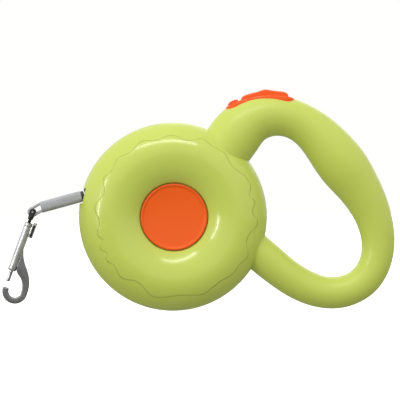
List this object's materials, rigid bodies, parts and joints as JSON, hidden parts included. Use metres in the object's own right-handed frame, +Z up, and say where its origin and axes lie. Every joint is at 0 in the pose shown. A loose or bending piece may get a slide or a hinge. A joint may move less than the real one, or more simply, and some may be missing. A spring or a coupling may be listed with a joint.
{
  "type": "retractable leash",
  "caption": "Ring-shaped retractable pet leash with a loop handle, thumb brake, sprung tape reel and a swivel bolt snap.",
  "frame": {"origin": "middle of the hand's grip, on the centre line of the handle", "axes": "+Z up, +X from the reel towards the hand, front face looks along -Y, parting plane at Y = 0"},
  "size_m": [0.2089, 0.034, 0.118],
  "materials": {
    "casing_green": "glossy moulded plastic",
    "control_orange": "glossy moulded plastic",
    "cap_orange": "satin moulded plastic",
    "reel_plastic": "moulded plastic",
    "guide_black": "moulded plastic",
    "spring_steel": "tempered strip and wire",
    "bright_steel": "zinc plated",
    "hook_metal": "plated die casting",
    "tape_grey": "woven polyester",
    "sleeve_grey": "stitched webbing",
    "washer_nylon": "moulded plastic"
  },
  "bodies": {
    "casing": {"front_shell": "casing_green", "back_shell": "casing_green", "front_ring_cover": "casing_green", "back_ring_cover": "casing_green", "front_centre_cap": "cap_orange", "back_centre_cap": "cap_orange", "casing_screws": "bright_steel", "control_bezel": "control_orange", "hinge_pin": "bright_steel", "reel_axle": "bright_steel", "reel_washers": "washer_nylon", "mainspring": "spring_steel", "tape_guide": "guide_black", "tape_guide_pin": "bright_steel", "brake_spring": "spring_steel"},
    "reel": {"reel": "reel_plastic", "reel_lid": "reel_plastic", "reel_lid_screws": "bright_steel", "wound_tape": "tape_grey"},
    "leash_end": {"leash_tape": "tape_grey", "leash_sleeve": "sleeve_grey", "tape_loop": "tape_grey"},
    "swivel": {"swivel_eye": "hook_metal"},
    "snap": {"snap_body": "hook_metal", "bolt_spring": "spring_steel"},
    "bolt": {"snap_bolt": "hook_metal", "thumb_tab": "hook_metal"},
    "button": {"brake_button": "control_orange"},
    "pawl": {"brake_pawl": "reel_plastic"},
    "lock": {"lock_slider": "control_orange"}
  },
  "joints": [
    {"name": "leash_pull", "type": "slide", "parent": "casing", "child": "leash_end", "axis": [-0.9641, 0, -0.2656], "range_m": [0, 3], "stiffness_N_per_m": 1, "springref_m": -4, "deforming": ["leash_tape"]},
    {"name": "reel_spin", "type": "hinge", "parent": "casing", "child": "reel", "pos_m": [-0.088, 0, -0.03], "axis": [0, -1, 0], "range_deg": [0, 6121], "deforming": ["mainspring"]},
    {"name": "loop_pivot", "type": "hinge", "parent": "leash_end", "child": "swivel", "pos_m": [-0.1622, 0, -0.0274], "axis": [0, 1, 0], "range_deg": [-16, 110]},
    {"name": "snap_swivel", "type": "hinge", "parent": "swivel", "child": "snap", "pos_m": [-0.1622, 0, -0.0274], "axis": [-0.342, 0, -0.9397], "continuous": true},
    {"name": "bolt_slide", "type": "slide", "parent": "snap", "child": "bolt", "axis": [0.342, 0, 0.9397], "range_m": [0, 0.003], "stiffness_N_per_m": 300, "springref_m": -0.004, "deforming": ["bolt_spring"]},
    {"name": "brake_press", "type": "hinge", "parent": "casing", "child": "button", "pos_m": [-0.0277, 0, 0.0312], "axis": [0, -1, 0], "range_deg": [0, 7], "stiffness_Nm_per_rad": 0.3, "springref_deg": -17.19},
    {"name": "pawl_slide", "type": "slide", "parent": "casing", "child": "pawl", "axis": [-0.5446, 0, -0.8387], "range_m": [0, 0.0024], "deforming": ["brake_spring"]},
    {"name": "lock_slide", "type": "slide", "parent": "casing", "child": "lock", "axis": [0.9397, 0, 0.342], "range_m": [0, 0.0012]}
  ],
  "couplings": [
    {"joint": "reel_spin", "follows": "leash_pull", "rad_per_m": 35.605},
    {"joint": "pawl_slide", "follows": "brake_press", "m_per_rad": 0.01754}
  ]
}
